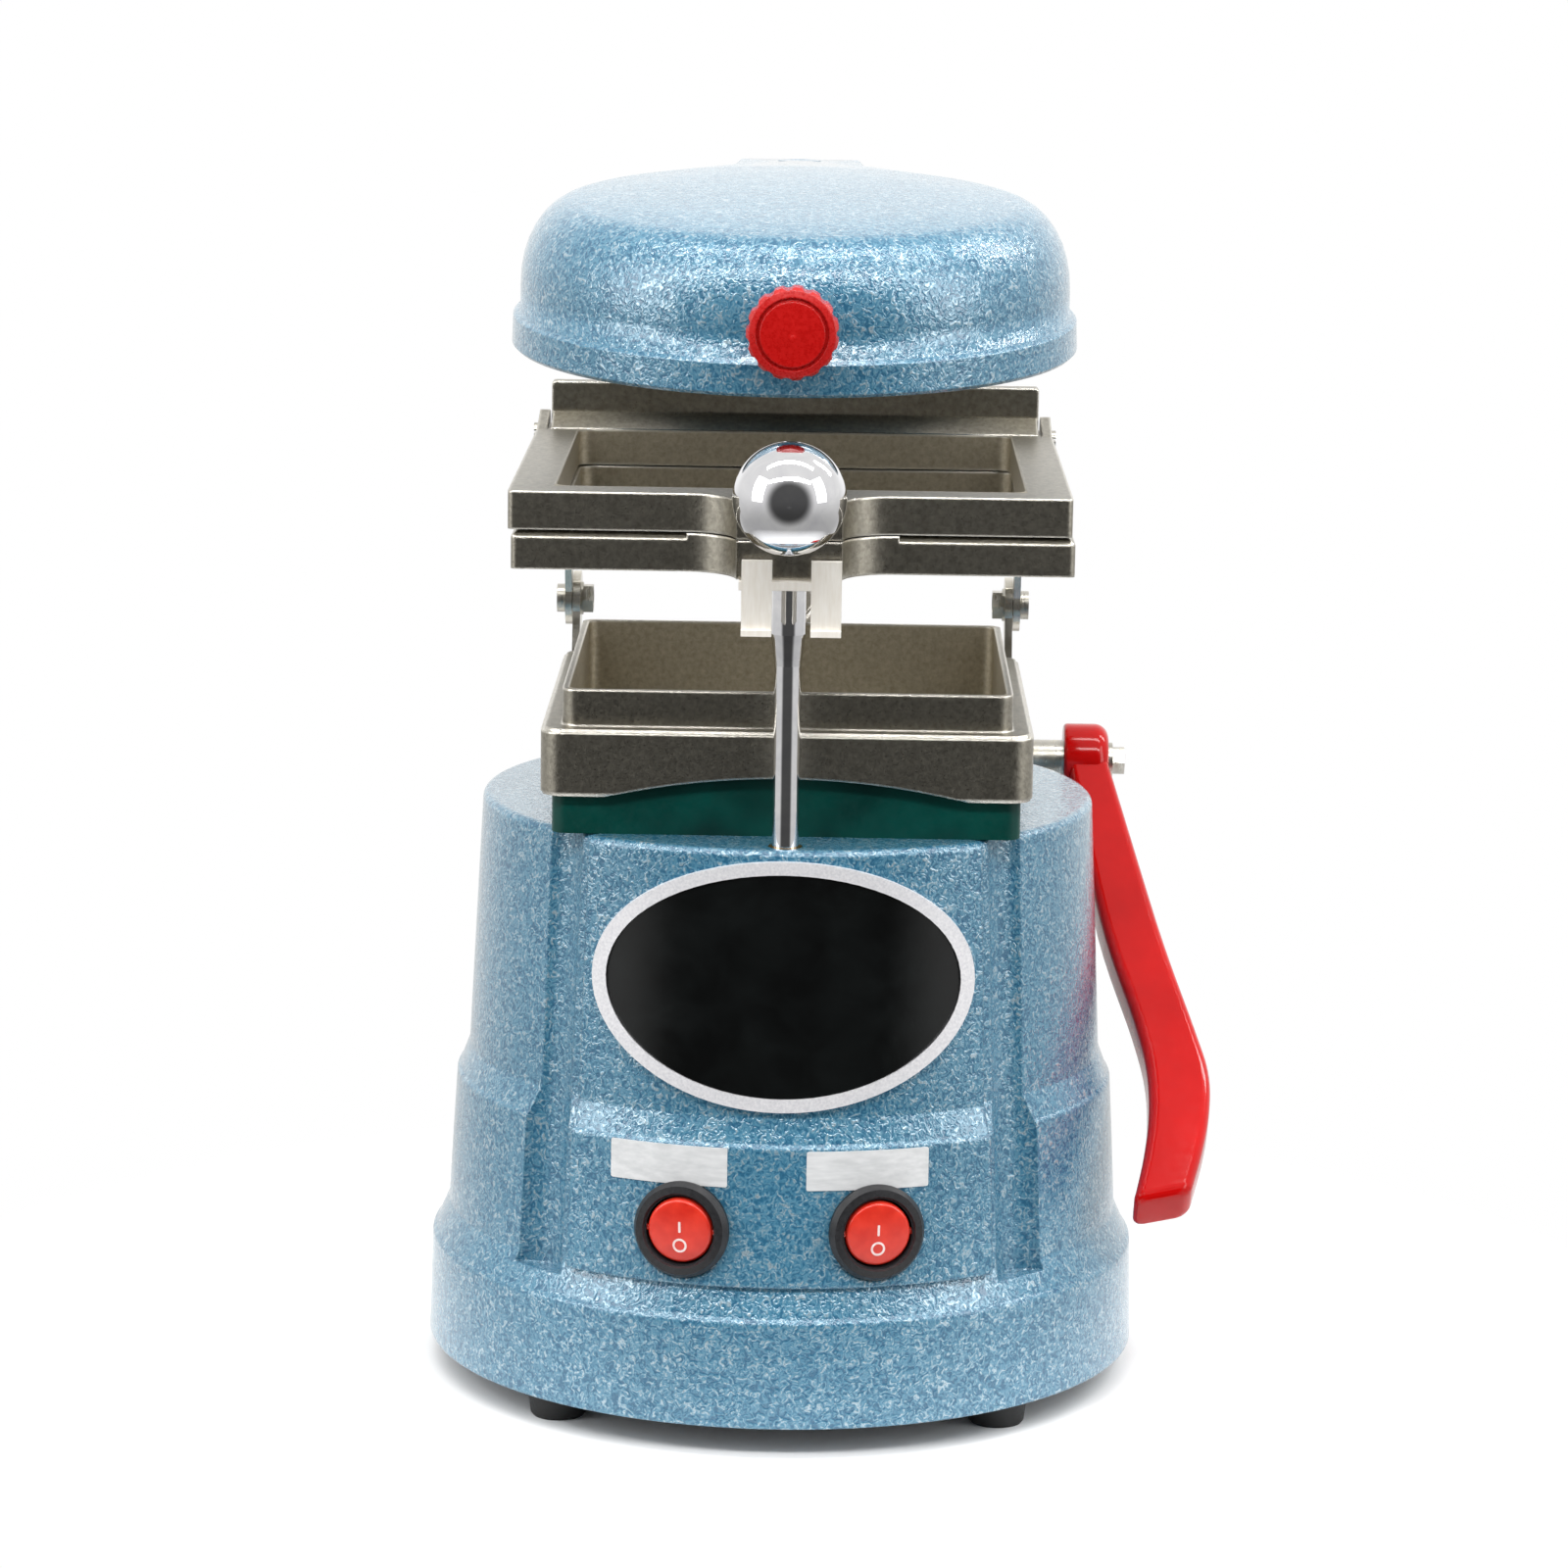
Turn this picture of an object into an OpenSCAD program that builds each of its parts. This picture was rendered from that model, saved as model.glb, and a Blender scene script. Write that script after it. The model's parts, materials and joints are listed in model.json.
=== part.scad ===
// Tabletop vacuum former for dental sheets: a heating head over a sliding sheet clamp,
// a forming box with its suction motor below, and a side lever that lowers the clamp.
// All sizes in millimetres. Z = 0 is the table, the front faces -Y.

/* [Base] */
// radius of the base skirt at the table
skirt_r = 94.6; // [90:0.1:100]
// height of the skirt edge above the table
skirt_h = 36.5; // [30:0.5:40]
// radius of the lower body just above the skirt
lower_r = 89.6; // [86:0.1:90]
// radius of the upper body just above its step
upper_r = 84.2; // [82:0.1:85]
// radius of the base at its top face
top_r = 80.8; // [78:0.1:82]
// height of the base top face
base_h = 155; // [150:0.5:160]
// wall thickness of the base casting
wall = 7; // [6.6:0.1:8]
// height of the rubber feet below the skirt
foot_h = 8; // [6:0.5:10]

/* [Forming box] */
// half width of the box opening
box_in = 55.5; // [52:0.1:56]
// half width of the upper box wall outside
box_wall = 57.2; // [56.5:0.1:57.8]
// half width of the box skirt outside
box_skirt = 62.5; // [61.5:0.1:63]
// height of the box rim
box_rim = 191.6; // [189:0.1:192]
// number of suction holes along one side of the model plate
plate_holes = 8; // [4:1:9]

/* [Sheet clamp] */
// half width of both clamp frames outside
frame_out = 70.4; // [69:0.1:71]
// half width of both clamp frames inside
frame_in = 59; // [58.8:0.1:60]
// thickness of each clamp frame
frame_t = 9.6; // [8:0.1:9.8]
// underside of the lower clamp frame at rest
frame_z = 224.2; // [223.6:0.1:225]
// diameter of the ball knob
ball_d = 28; // [24:0.5:30]
// diameter of the front guide rod
rod_d = 6.8; // [6:0.1:7.2]

/* [Heating head] */
// radius of the head body
head_r = 71.3; // [70:0.1:72]
// height of the rounded shoulder of the head
head_round = 22; // [18:0.5:23]
// height of the flat neck top above the table
head_top = 314; // [313.5:0.5:316]
// height of the lower edge of the head below its middle
head_low = 274.3; // [273.8:0.1:275]
// forward droop of the head, in degrees
head_tilt = 4.6; // [3.5:0.1:4.8]
// diameter of the head grip knob
knob_d = 22.8; // [20:0.2:24]
// number of flutes around the head grip knob
knob_flutes = 15; // [10:1:18]

/* [Column and linkage] */
// diameter of the rear column
column_d = 24; // [22:0.5:25]
// distance of the column behind the frame centre
column_y = 103; // [102:0.5:105]
// distance of the cross shaft behind the frame centre
shaft_y = 84; // [83.5:0.1:84.5]
// height of the cross shaft
shaft_z = 149.5; // [149:0.5:150]
// diameter of the cross shaft
shaft_d = 8; // [7:0.5:8]
// centre distance of each crank and each link
link_l = 44; // [43.8:0.1:44.2]
// lean of the cranks at rest, in degrees
crank_lean = 19.4; // [19:0.1:20]

/* [Hidden] */
$fn = 96;
base_cy = 4;
top_edge = 2;
step_z = 86.5;
panel_off = 10;
panel_cy = base_cy + panel_off - 1.5;
panel_a = 33.3;
flute_r = 9;
flute_a = 43.6;
run = 0.05;
bush_r = 4.3;
plate_z = 9.5;
rod_y = -71.5;
ball_y = -98.4;
ball_z = 246.6;
lug_y = -frame_out - 13;
leg_t = 2.2;
upper_z = frame_z + frame_t + 0.4;
hinge_y = 73.6;
hinge_z = 241.3;
bar_front = frame_out;
bar_back = 76;
knee_y = shaft_y + link_l*sin(crank_lean);
knee_z = shaft_z + link_l*cos(crank_lean);
pin_z = shaft_z + 2*link_l*cos(crank_lean);
slot_l = 4.9;
link_in = 62.2;
link_t = 1.9;
crank_in = 59.8;
crank_t = 2.1;
head_cy = -2;
head_h = 38;
rear_cy = column_y - head_cy - 0.5;
rocker_pin = 0.9;
neck_w = 36;
knob_z = 285.6;

// centre lines of the moving joints, printed for the fit of the linkage
echo(knee=[knee_y, knee_z], upper_pin=pin_z);

// which piece to show

// Shapes used by several pieces

// square of half width h with round corners
module round_square(h, r) {
  square([2*h, 2*(h - r)], center = true);
  square([2*(h - r), 2*h], center = true);
  for (x = [-1, 1], y = [-1, 1]) translate([x*(h - r), y*(h - r)]) circle(r = r);
}

// rectangle with round corners, centred
module round_rect(w, h, r) {
  square([w, h - 2*r], center = true);
  square([w - 2*r, h], center = true);
  for (x = [-1, 1], y = [-1, 1]) translate([x*(w/2 - r), y*(h/2 - r)]) circle(r = r);
}

// corner points of a quarter arc from angle a to b
function arc(cx, cy, r, a, b, n = 5) =
  [for (i = [0 : n]) [cx + r*cos(a + (b - a)*i/n), cy + r*sin(a + (b - a)*i/n)]];

// points of an ellipse
function ellipse_points(a, b, n = 72) = [for (i = [0 : n - 1]) [a*cos(360*i/n), b*sin(360*i/n)]];

// cylinder along X between two stations
module bar_x(x0, x1, y, z, r) {
  translate([x0, y, z]) rotate([0, 90, 0]) cylinder(r = r, h = x1 - x0);
}

// cylinder along Y between two stations
module bar_y(y0, y1, x, z, r) {
  translate([x, y0, z]) rotate([-90, 0, 0]) cylinder(r = r, h = y1 - y0);
}

// hexagon head or nut along X
module hex_x(x0, x1, y, z, flats) {
  translate([x0, y, z]) rotate([0, 90, 0]) linear_extrude(x1 - x0)
    polygon([for (i = [0 : 5]) [flats/1.732*cos(60*i + 30), flats/1.732*sin(60*i + 30)]]);
}

// one copy on each side of the middle plane
module both_sides() {
  children();
  mirror([1, 0, 0]) children();
}

// The base casting and what is fixed in it

// outline of the base wall from the table up to the top face, grown outward by e
function base_outline(e = 0) = concat(
  [[skirt_r + e, foot_h], [skirt_r - 0.6 + e, skirt_h - 2]],
  arc(skirt_r - 2.6 + e, skirt_h - 2, 2, 0, 60, 3),
  [[lower_r + e, skirt_h + 7.5], [lower_r - 2.1 + e, step_z - 7.5]],
  arc(lower_r - 3.7 + e, step_z - 7.4, 1.6, 10, 60, 2),
  [[upper_r + e, step_z + 0.6], [top_r + 0.1 + e, base_h - top_edge]],
  arc(top_r - top_edge + 0.1 + e, base_h - top_edge, top_edge, 15, 90, 4));

// solid of revolution under the base outline, on its own centre line
module base_solid(e = 0) {
  rotate_extrude() polygon(concat([[0, foot_h]], base_outline(e), [[0, base_h]]));
}

// the flatter front panel, a sector of a wider turned shape
module panel_sector(e = 0) {
  translate([0, panel_cy, 0]) intersection() {
    rotate_extrude() polygon(concat([[20, foot_h + 30]],
      [for (p = base_outline(panel_off + e)) if (p[1] > foot_h + 30) p], [[20, base_h]]));
    translate([0, base_cy - panel_cy, foot_h + 20]) cylinder(r = skirt_r - 0.4, h = base_h);
    translate([0, 0, foot_h + 25]) linear_extrude(base_h - foot_h - 24)
      polygon([[0, 0], [130*sin(-panel_a), -130*cos(panel_a)],
        [130*sin(panel_a), -130*cos(panel_a)]]);
  }
}

module flute() {
  translate([0, -(top_r + flute_r - 2.6), base_h + 4]) rotate([-3.1, 0, 0])
    mirror([0, 0, 1]) cylinder(r = flute_r, h = base_h + 4 - skirt_h - 4.5);
}

module vent_slots() {
  for (a = [118, 126, 134, 142, 218, 226, 234, 242])
    rotate([0, 0, a]) translate([-2, -skirt_r - 6, 50]) cube([4, 20, 24]);
}

module base_housing() color([0.44, 0.63, 0.75]) difference() {
  union() {
    difference() {
      translate([0, base_cy, 0]) base_solid();
      for (a = [-flute_a, flute_a]) translate([0, base_cy, 0]) rotate([0, 0, a]) flute();
    }
    panel_sector();
    // rear mast boss with its web
    translate([0, column_y, 0]) rotate_extrude() polygon([[0, foot_h + 8], [15, foot_h + 8],
      [18.5, foot_h + 14], [18.5, base_h + 9], [17.5, base_h + 10], [0, base_h + 10]]);
    translate([-13, 60, foot_h + 14]) cube([26, column_y - 60, base_h - foot_h - 14]);
    // bearing lugs for the cross shaft
    for (x = [-52, 42]) {
      translate([x, 50, shaft_z - 10]) cube([10, shaft_y - 50, 15.5]);
      bar_x(x, x + 10, shaft_y, shaft_z, 8.5);
    }
  }
  // hollow inside
  translate([0, base_cy, 0]) rotate_extrude() polygon([[0, foot_h - 1], [skirt_r - wall, foot_h - 1],
    [skirt_r - wall - 0.6, skirt_h - 3], [lower_r - wall - 0.2, skirt_h + 4],
    [lower_r - wall - 2.2, step_z - 9], [upper_r - wall - 0.4, step_z - 2],
    [top_r - wall - 3, base_h - 14], [top_r - wall - 9, base_h - 6], [0, base_h - 6]]);
  // seat of the bottom plate
  translate([0, base_cy, foot_h - 1]) cylinder(r = skirt_r - 4, h = plate_z - foot_h + 3);
  // suction opening
  translate([0, 0, base_h - 20]) cylinder(r = 24, h = 30);
  // seat of the rod bush
  translate([0, rod_y, base_h - 52]) cylinder(r = bush_r, h = 60);
  // mast socket and the shaft bore
  translate([0, column_y, 40]) cylinder(d = column_d, h = 200);
  bar_x(-60, 60, shaft_y, shaft_z, 6.5);
  for (z = [70, 130]) bar_y(column_y + 5, column_y + 30, 0, z, 3);
  // flat seats of the fuse holder and the gland, rear left
  rotate_rear() {
    translate([-12, 0, 22]) cube([24, 12, 26]);
    bar_y(-20, 10, 0, 35, 6);
  }
  mirror([1, 0, 0]) rotate_rear() {
    translate([-12, 0, 22]) cube([24, 12, 26]);
    bar_y(-20, 10, 0, 35, 6.5);
  }
  // switch holes and vents
  for (x = [-24.5, 24.5]) switch_place(x) {
    bar_y(-6, 30, 0, 0, 10);
    bar_y(-12, 0.6, 0, 0, 12.8);
  }
  translate([0, base_cy, 0]) vent_slots();
}

// thin bush of the guide rod in the front wall
module rod_bush() color([0.80, 0.66, 0.36]) difference() {
  translate([0, rod_y, base_h - 40]) cylinder(r = bush_r, h = 40);
  translate([0, rod_y, base_h - 60]) cylinder(d = rod_d + 2*run, h = 80);
}

// place on the rear skirt for the gland and the fuse holder, facing outward
module rotate_rear() {
  translate([0, base_cy, 0]) rotate([0, 0, 38]) translate([0, skirt_r - 5, 0]) children();
}

// place of a rocker switch on the leaning lower panel
module switch_place(x) {
  a = asin(x/(lower_r + panel_off - 1));
  translate([0, panel_cy, 58.2]) rotate([0, 0, a])
    translate([0, -(lower_r + panel_off - 0.7), 0]) rotate([-2.9, 0, 0]) children();
}

module bottom_plate() color([0.25, 0.26, 0.27]) difference() {
  translate([0, base_cy, plate_z - 1]) cylinder(r = skirt_r - 4.2, h = 2);
  for (x = [-57, 57], y = [-55, 62]) translate([x, y, 0]) cylinder(r = 2.3, h = 20);
  for (i = [-4 : 4]) translate([i*9 - 2, -22, 0]) cube([4, 44, 20]);
}

module rubber_feet() color([0.05, 0.05, 0.05]) for (x = [-57, 57], y = [-55, 62])
  translate([x, y, 0]) rotate_extrude($fn = 48) polygon([[3.8, 0], [6.6, 0], [7.2, 0.8], [8, 7],
    [8, plate_z - 1], [2.3, plate_z - 1], [2.3, 4.5], [3.8, 4.5]]);

module foot_screws() color([0.75, 0.75, 0.76]) for (x = [-57, 57], y = [-55, 62])
  translate([x, y, 0]) {
    translate([0, 0, 2.6]) cylinder(r = 3.7, h = 1.9, $fn = 32);
    translate([0, 0, 4.5]) cylinder(r = 2.2, h = 12, $fn = 32);
  }

// fan and motor can, hung under the base top
module vacuum_motor() color([0.66, 0.67, 0.69]) difference() {
  rotate_extrude() polygon([[0, 46], [30, 46], [34, 50], [34, 88], [56, 94], [60, 98], [60, 118],
    [56, 122], [26, 124], [26, 140], [22, 140], [22, 126], [0, 126]]);
  translate([0, 0, 120]) cylinder(r = 18, h = 30);
  for (a = [0 : 30 : 330]) rotate([0, 0, a]) translate([50, -3, 102]) cube([20, 6, 12]);
}

module motor_seal() color([0.08, 0.08, 0.08]) difference() {
  translate([0, 0, 138]) cylinder(r = 31, h = base_h - 6 - 138);
  translate([0, 0, 130]) cylinder(r = 26, h = 10);
  translate([0, 0, 130]) cylinder(r = 22, h = 40);
}

// The forming box on top of the base

module chamber_gasket() color([0.0, 0.32, 0.28]) difference() {
  translate([0, 0, base_h]) linear_extrude(17) round_square(59.6, 4);
  translate([0, 0, base_h + 5]) linear_extrude(20) round_square(box_wall, 4);
  translate([0, 0, base_h - 1]) linear_extrude(20) round_square(50, 4);
}

// the turned-over lower edge of the box is arched on all four sides
module skirt_arches() {
  r = (46*46 + 5.4*5.4)/(2*5.4);
  for (a = [0, 90, 180, 270]) rotate([0, 0, a])
    bar_y(-box_skirt - 2, -59.7, 0, base_h + 10 + 5.4 - r, r, $fn = 240);
}

module forming_box() color([0.62, 0.60, 0.56]) difference() {
  union() {
    translate([0, 0, base_h + 5]) linear_extrude(box_rim - base_h - 5) round_square(box_wall, 4);
    translate([0, 0, base_h + 10]) linear_extrude(16.2) round_square(box_skirt - 0.4, 5.5);
    translate([0, 0, base_h + 10.6]) linear_extrude(15.8) round_square(box_skirt, 6);
    translate([0, 0, base_h + 26.4]) linear_extrude(0.8) round_square(box_skirt - 0.8, 5.2);
  }
  // deep opening for the model, floor with a suction window
  translate([0, 0, base_h + 8.5]) linear_extrude(60) round_square(box_in, 3);
  translate([0, 0, base_h]) linear_extrude(20) round_square(49, 4);
  // room for the gasket behind the skirt
  translate([0, 0, base_h]) linear_extrude(18.4) difference() {
    round_square(59.7, 4);
    round_square(box_wall, 4);
  }
  skirt_arches();
}

module model_plate() color([0.70, 0.70, 0.71]) difference() {
  translate([0, 0, base_h + 8.5]) linear_extrude(1.6) round_square(box_in - 0.3, 2.8);
  pitch = 92/(plate_holes - 1);
  for (i = [0 : plate_holes - 1], j = [0 : plate_holes - 1])
    translate([-46 + i*pitch, -46 + j*pitch, base_h]) cylinder(r = 1.6, h = 20, $fn = 16);
}

// Fittings on the front and the rear, and the column

// curved layer over the upper panel between two heights above its surface
module panel_layer(e0, e1) {
  z0 = step_z + 1;
  z1 = base_h - top_edge;
  translate([0, panel_cy, 0]) rotate_extrude() polygon([
    [upper_r + panel_off + e0, z0], [upper_r + panel_off + e1, z0],
    [top_r + 0.1 + panel_off + e1, z1], [top_r + 0.1 + panel_off + e0, z1]]);
}

// upright oval block that trims the layers, a and b are its half axes
module oval_block(a, b) {
  translate([0, -50, 120.6]) rotate([90, 0, 0]) linear_extrude(60) polygon(ellipse_points(a, b));
}

module oval_rim() color([0.80, 0.81, 0.84]) intersection() {
  panel_layer(0, 1.6);
  difference() {
    oval_block(48.6, 31.9);
    translate([0, 1, 0]) oval_block(45, 28.6);
    translate([0, -5, 0]) oval_block(45, 28.6);
  }
}

module oval_face() color([0.03, 0.03, 0.035]) intersection() {
  panel_layer(0, 0.9);
  oval_block(44.9, 28.5);
}

module switch_bezels() color([0.05, 0.05, 0.055]) for (x = [-24.5, 24.5]) switch_place(x)
  rotate([90, 0, 0]) difference() {
    rotate_extrude($fn = 64) polygon([[0, -22], [9.4, -22], [9.6, -0.6], [12.3, -0.6],
      [12.4, 0.8], [11.4, 2.6], [9.6, 2.9], [9.2, 2.0], [0, 2.0]]);
    translate([0, 0, -9]) cylinder(r = 8.9, h = 30, $fn = 64);
    translate([0, 0, -11]) cylinder(r = 4, h = 5, $fn = 32);
    // blind bores of the rocker's pins
    bar_x(-10.4, 10.4, 0, 0.5, rocker_pin + run);
  }

// round rocker with a bent face, pressed in at its lower half, that tilts on two side pins
module rocker(x) {
  switch_place(x) {
    intersection() {
      translate([0, -0.5, 0]) rotate([90, 0, 0]) rotate([0, 0, 40]) sphere(r = 8.55);
      rotate([0, -90, 0]) translate([0, 0, -10]) linear_extrude(20)
        polygon([[-10, 4], [10, 4], [10, -4.5], [0, -1.6], [-10, -2.3]]);
    }
    for (x0 = [-10, 7.8]) bar_x(x0, x0 + 2.2, -0.5, 0, rocker_pin);
  }
}

module vacuum_rocker() color([0.86, 0.10, 0.06]) rocker(-24.5);
module heat_rocker() color([0.86, 0.10, 0.06]) rocker(24.5);

module cord_gland() color([0.06, 0.06, 0.06]) rotate_rear() difference() {
  union() {
    bar_y(-9, 0, 0, 35, 5.9);
    bar_y(0, 3, 0, 35, 9);
    bar_y(3, 12, 0, 35, 7);
    translate([0, 15, 35]) rotate([90, 0, 0]) cylinder(r1 = 5.4, r2 = 7, h = 3);
  }
  bar_y(-30, 30, 0, 35, 3.5);
}

module fuse_holder() color([0.06, 0.06, 0.06]) mirror([1, 0, 0]) rotate_rear() difference() {
  union() {
    bar_y(-30, 0, 0, 35, 6.4);
    bar_y(0, 2.5, 0, 35, 9);
    bar_y(2.5, 10, 0, 35, 6.5);
  }
  translate([-5, 8.8, 34.3]) cube([10, 4, 1.4]);
}

module shaft_bushes() color([0.78, 0.60, 0.32]) for (x = [-52.6, 42]) difference() {
  bar_x(x, x + 10.6, shaft_y, shaft_z, 6.5);
  bar_x(x - 5, x + 20, shaft_y, shaft_z, shaft_d/2 + run);
}

module column() color([0.86, 0.87, 0.88]) difference() {
  translate([0, column_y, 0]) rotate_extrude() polygon([[0, 40], [column_d/2 - 1, 40],
    [column_d/2, 41], [column_d/2, head_top - 7], [column_d/2 - 1, head_top - 6], [0, head_top - 6]]);
  translate([0, column_y, head_top - 18]) cylinder(r = 3, h = 20);
}

module column_screws() color([0.35, 0.35, 0.36]) for (z = [70, 130]) difference() {
  bar_y(column_y + column_d/2, column_y + 19.5, 0, z, 3);
  translate([0, column_y + 18, z]) rotate([-90, 0, 0]) linear_extrude(4)
    polygon([for (i = [0 : 5]) [1.8*cos(60*i), 1.8*sin(60*i)]]);
}

// The heating head

// the head and its heater hang forward a little about their middle
module head_place() translate([0, head_cy, head_low]) rotate([head_tilt, 0, 0]) children();

// drop-shaped band with bevelled edges: round front, straight sides, round rear
module drop_plate(r0, r1, h, bevel) {
  hull() for (c = [[0, r0], [rear_cy, r1]]) translate([0, c[0], 0])
    rotate_extrude() polygon([[0, 0], [c[1] - bevel, 0], [c[1], bevel], [c[1] - 0.3, h - bevel],
      [c[1] - bevel - 0.3, h], [0, h]]);
}

// side view of a dome of radius r and height h with a shoulder a wide and b high
function dome_side(r, h, a, b, crown) = concat([[0, 0], [r, 0]],
  [for (t = [0 : 10.5 : 84]) [r - a + a*cos(t), h - b + b*sin(t)]],
  [for (k = [0.66, 0.33, 0]) [k*(r - a + a*cos(84)), h + crown*(1 - k*k)]]);

// drop-shaped dome, lower over the column
module drop_dome() hull() {
  rotate_extrude() polygon(dome_side(head_r, head_h, head_round - 7, head_round, 2));
  translate([0, rear_cy, 0]) rotate_extrude() polygon(dome_side(21, head_h - 7, 9, 14, 0.5));
}

module head_shell() color([0.44, 0.63, 0.75]) difference() {
  union() {
    // lower rim band, then the domed body
    head_place() drop_plate(head_r + 2.2, 23.2, 9, 0.9);
    head_place() drop_dome();
    // flat-topped upright neck over the column
    intersection() {
      translate([0, column_y - 4, head_low + 11.7]) linear_extrude(head_top - head_low - 11.7)
        round_rect(neck_w, 44, 5);
      translate([0, column_y + 30, head_low]) rotate([90, 0, 0]) linear_extrude(70)
        polygon([[-neck_w/2, 0], [neck_w/2, 0], [neck_w/2, head_top - head_low - 1.2],
          [neck_w/2 - 1.6, head_top - head_low], [-neck_w/2 + 1.6, head_top - head_low],
          [-neck_w/2, head_top - head_low - 1.2]]);
    }
    // boss behind the grip knob
    bar_y(head_cy - head_r - 3.1, head_cy - head_r + 14, 0, knob_z, 6.5);
  }
  // heater room, open below
  head_place() translate([0, 0, -1]) rotate_extrude() polygon(concat(
    [[0, 0], [head_r - 4.3, 0]], arc(head_r - 24.3, 15, 20, 0, 90, 6), [[0, 35]]));
  // bore for the column, blind at the top, and the screw on its axis
  translate([0, column_y, head_low - 1]) cylinder(d = column_d + 2*run, h = head_top - head_low - 4.5);
  translate([0, column_y, head_top - 20]) cylinder(r = 3 + run, h = 40);
  translate([0, column_y, head_top - 3.2]) cylinder(r = 6, h = 5);
  bar_y(head_cy - head_r - 5, head_cy - head_r + 20, 0, knob_z, 3);
}

// polished dish that throws the heat down
module reflector_pan() color([0.82, 0.82, 0.83]) head_place() difference() {
  translate([0, 0, 4]) rotate_extrude() polygon([[0, 18], [40, 18], [62, 6],
    [66.9, 6], [66.9, 7.2], [62.4, 7.2], [40.4, 19.4], [0, 19.4]]);
  for (a = [0, 120, 240]) rotate([0, 0, a]) translate([0, 26, 0]) cylinder(r = 2.6, h = 40, $fn = 32);
}

// three rings of heating rod joined by short radial runs
module heating_rod() color([0.40, 0.34, 0.31]) head_place() translate([0, 0, 9]) {
  for (r = [14, 26, 38]) rotate_extrude($fn = 64) translate([r, 0]) circle(r = 3, $fn = 20);
  for (a = [0, 120, 240]) rotate([0, 0, a]) translate([0, 14, 0]) rotate([-90, 0, 0])
    cylinder(r = 2.4, h = 24, $fn = 24);
}

// ceramic studs between the rod and the roof of the heater room
module heater_studs() color([0.90, 0.89, 0.85]) head_place()
  for (a = [0, 120, 240]) rotate([0, 0, a]) translate([0, 26, 12.02]) {
    cylinder(r = 2.5, h = 21.98, $fn = 32);
    translate([0, 0, 1.4]) cylinder(r = 4.5, h = 7, $fn = 32);
  }

module neck_screw() color([0.78, 0.78, 0.79]) {
  translate([0, column_y, head_top - 3]) cylinder(r = 5.4, h = 2.6);
  translate([0, column_y, head_top - 17]) cylinder(r = 3, h = 14.1);
}

module knob_stud() color([0.78, 0.78, 0.79])
  bar_y(head_cy - head_r - 12, head_cy - head_r + 12, 0, knob_z, 3);

module head_knob() color([0.85, 0.06, 0.06]) translate([0, head_cy - head_r - 3.7, knob_z])
  rotate([90, 0, 0]) difference() {
    r = knob_d/2;
    rotate_extrude() polygon([[0, 0], [r - 3.4, 0], [r - 2.6, 1.6], [r - 0.8, 2.4], [r, 3.4],
      [r, 10.2], [r - 0.7, 11.6], [r - 2.4, 12.2], [r - 2.6, 11.6], [r - 3.2, 11.6],
      [r - 3.4, 12.4], [0, 12.8]]);
    for (i = [0 : knob_flutes - 1]) rotate([0, 0, 360*i/knob_flutes])
      translate([r + 1, 0, 1]) cylinder(r = 1.7, h = 20, $fn = 24);
    translate([0, 0, -1]) cylinder(r = 3 + run, h = 11.6);
  }

// The sheet clamp with its carriage

// plan of both frames with the forward lug
module frame_plan(rear_cut, aside = 0) {
  difference() {
    union() {
      translate([aside, 0]) round_square(frame_out, 1.6);
      translate([-13, -frame_out - 12]) square([26, 20]);
      for (s = [-1, 1]) difference() {
        translate([s*13 - (s < 0 ? 13 : 0), -frame_out - 13]) square([13, 14]);
        translate([s*26, -frame_out - 13]) circle(r = 13);
      }
    }
    translate([aside, 0]) round_square(frame_in, 4);
    if (rear_cut > 0) translate([-80, frame_out - rear_cut]) square([160, 20]);
  }
}

// slanted cuts of width c along the upper outer edges of a frame whose top is at z
module edge_bevels(z, c) both_sides() {
  translate([frame_out, frame_out + 5, z]) rotate([90, 0, 0]) linear_extrude(2*frame_out + 10)
    polygon([[-c - 0.1, 0.1], [1.1, 0.1], [1.1, -c - 1.1]]);
  translate([26.5, -frame_out, z]) rotate([90, 0, 90]) linear_extrude(frame_out)
    polygon([[c + 0.1, 0.1], [-1.1, 0.1], [-1.1, -c - 1.1]]);
}

module lower_frame() color([0.60, 0.59, 0.57]) difference() {
  translate([0, 0, frame_z]) linear_extrude(frame_t) frame_plan(0, 0.8);
  translate([0.8, 0, 0]) edge_bevels(frame_z + frame_t, 1.6);
  translate([0, rod_y, frame_z - 1]) cylinder(r = 4.4, h = 6);
  for (x = [-46, 46]) bar_y(frame_out - 9, frame_out + 2, x, frame_z + 4.8, 2.5);
  for (x = [-8, 8]) translate([x, -frame_out - 6, frame_z - 1]) cylinder(r = 1.6, h = 7, $fn = 24);
}

module frame_bolts() color([0.75, 0.75, 0.76]) for (x = [-46, 46]) {
  bar_y(frame_out - 8, bar_back, x, frame_z + 4.8, 2.5);
  bar_y(bar_back, bar_back + 3.4, x, frame_z + 4.8, 4.4);
}

// two flat legs that straddle the head of the guide rod
module rod_bracket() color([0.88, 0.87, 0.84]) difference() {
  union() {
    translate([-12.4, lug_y - leg_t, frame_z - 2.2]) cube([24.8, leg_t + 12.4, 2.2]);
    translate([0.7, 0, 0]) both_sides() {
      translate([4.8, lug_y - leg_t, frame_z - 13.6]) cube([7.6, leg_t, 18.8]);
      translate([4.8, lug_y - leg_t - 1, frame_z - 13.6]) cube([7.6, leg_t + 1, 1.6]);
    }
  }
  for (x = [-8, 8]) translate([x, -frame_out - 6, frame_z - 5]) cylinder(r = 1.6, h = 7, $fn = 24);
  translate([0, rod_y, frame_z - 5]) cylinder(r = 4.4, h = 10);
}

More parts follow.
